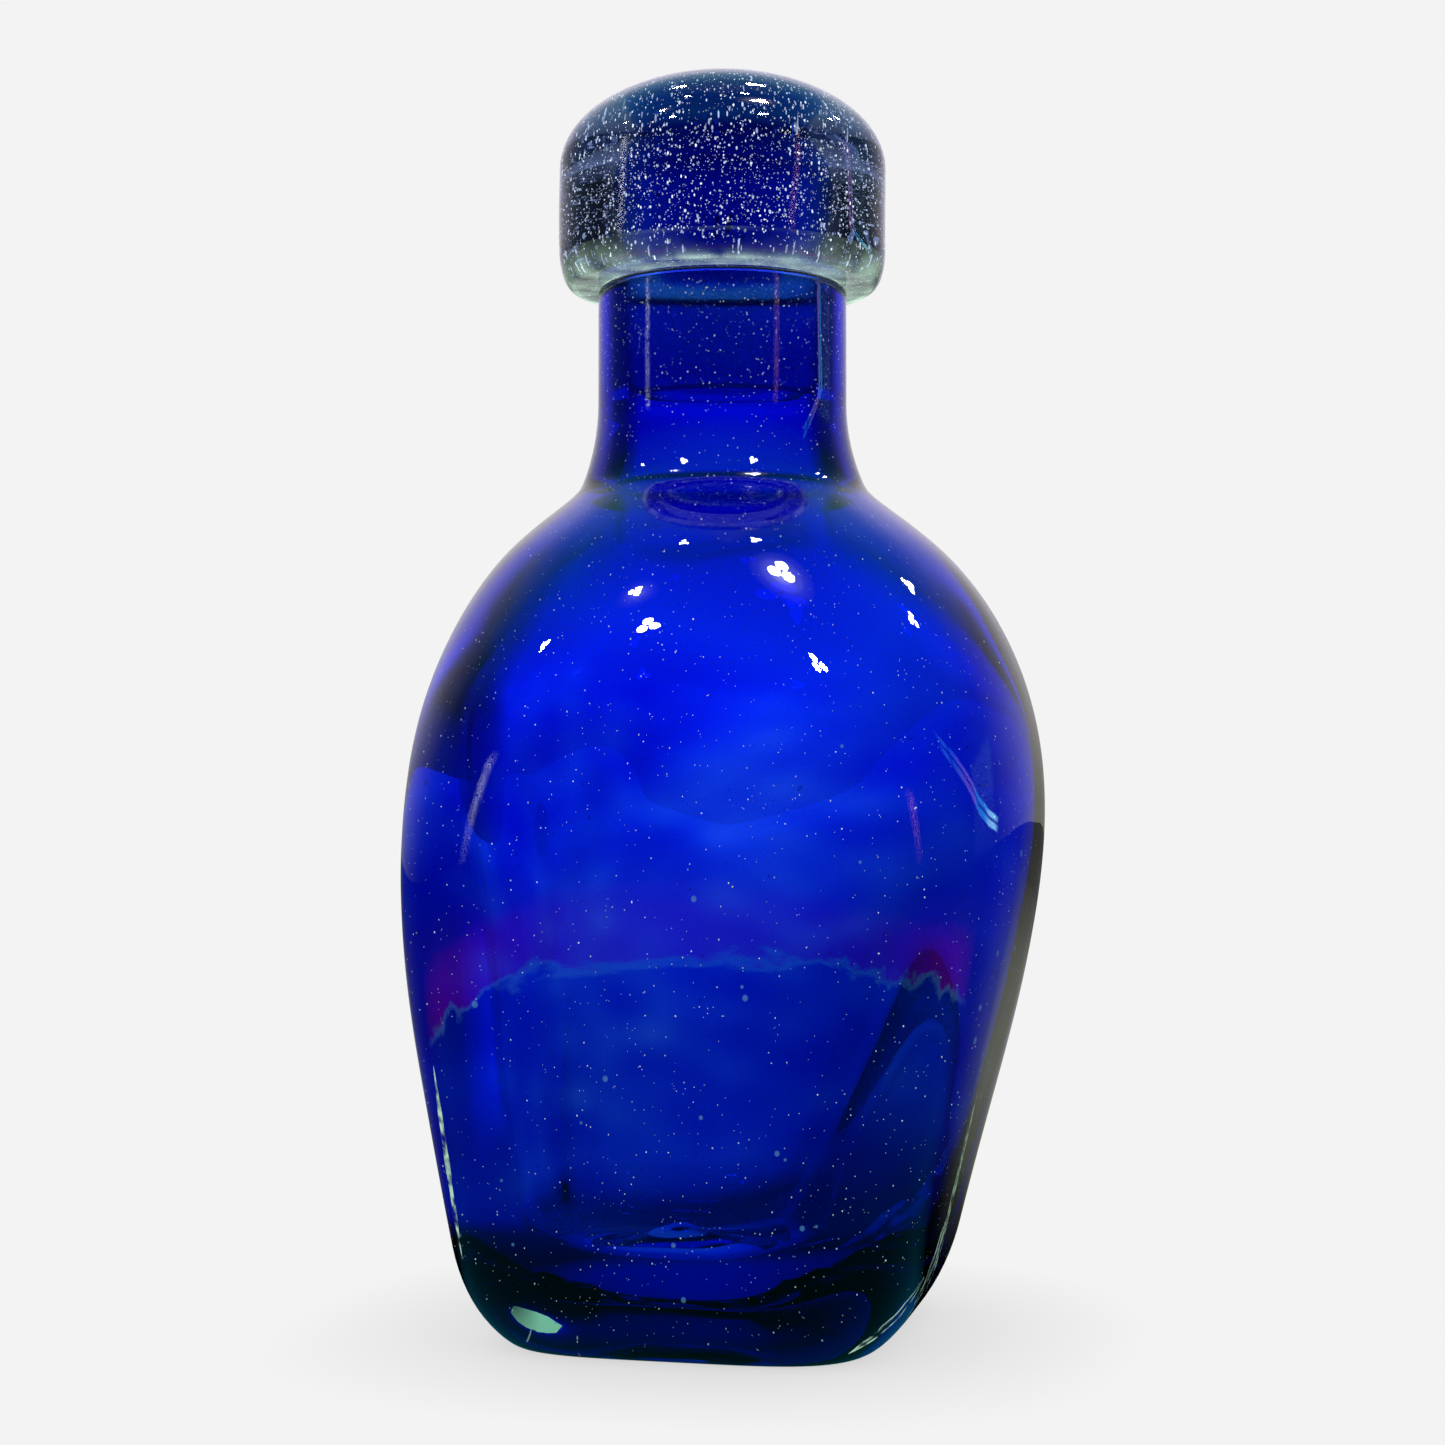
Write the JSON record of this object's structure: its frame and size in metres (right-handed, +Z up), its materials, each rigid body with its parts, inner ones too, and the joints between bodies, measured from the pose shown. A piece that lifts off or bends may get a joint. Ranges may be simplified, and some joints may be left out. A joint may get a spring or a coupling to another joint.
{
  "type": "stoppered glass bottle",
  "caption": "Hand-blown bottle of cobalt glass cased in clear, rounded-square body, straight neck, domed lift-out glass stopper.",
  "frame": {"origin": "on the surface that the bottle stands on, under the middle of the widest part of the body", "axes": "+Z up along the bottle towards the stopper; X and Y square to the flat sides of the lower body, -Y the broad face seen in front"},
  "size_m": [0.1266, 0.1266, 0.26],
  "materials": {
    "clear_glass": "clear, faintly green, fire-polished, with scattered seeds",
    "cobalt_glass": "deep cobalt, transparent",
    "seeded_clear_glass": "clear, faintly green, densely seeded",
    "ground_glass": "ground matt on its side"
  },
  "bodies": {
    "bottle": {"bottle_casing": "clear_glass", "bottle_lining": "cobalt_glass"},
    "stopper": {"stopper_head": "seeded_clear_glass", "stopper_core": "cobalt_glass", "stopper_plug": "ground_glass"}
  },
  "joints": [
    {"name": "stopper_lift", "type": "slide", "parent": "bottle", "child": "stopper", "axis": [0, 0, 1], "range_m": [0, 0.05]}
  ]
}
